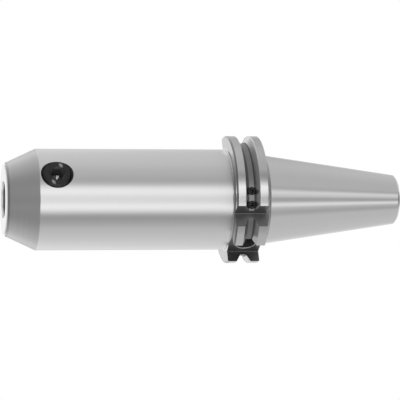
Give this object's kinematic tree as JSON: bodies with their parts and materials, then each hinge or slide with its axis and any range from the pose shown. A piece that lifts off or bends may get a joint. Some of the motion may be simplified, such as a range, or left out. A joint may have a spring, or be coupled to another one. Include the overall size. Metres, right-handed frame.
{
  "type": "side lock end mill holder",
  "caption": "Steel tool holder: a bore clamped from the side by a headless screw, a coned nose, a notched flange with a gripper groove, and a steep taper shank.",
  "frame": {"origin": "centre of the nose face, where the tool bore opens; the part stands on this face", "axes": "+Z is the spindle axis from the nose towards the taper, +X points through the middle of the keyway with the chip pocket, -Y is the side of the clamping screw"},
  "size_m": [0.0614, 0.0636, 0.1984],
  "materials": {
    "ground_steel": "hardened and ground, nose cone turned and left matt",
    "blackened_steel": "black oxide"
  },
  "bodies": {
    "holder": {"holder_body": "ground_steel", "coolant_screw_1": "blackened_steel", "coolant_screw_2": "blackened_steel", "coolant_screw_3": "blackened_steel", "coolant_screw_4": "blackened_steel"},
    "clamping_screw": {"clamping_screw": "blackened_steel"}
  },
  "joints": [
    {"name": "clamping_screw_travel", "type": "slide", "parent": "holder", "child": "clamping_screw", "axis": [0, -1, 0], "range_m": [-0.002, 0.01]}
  ]
}
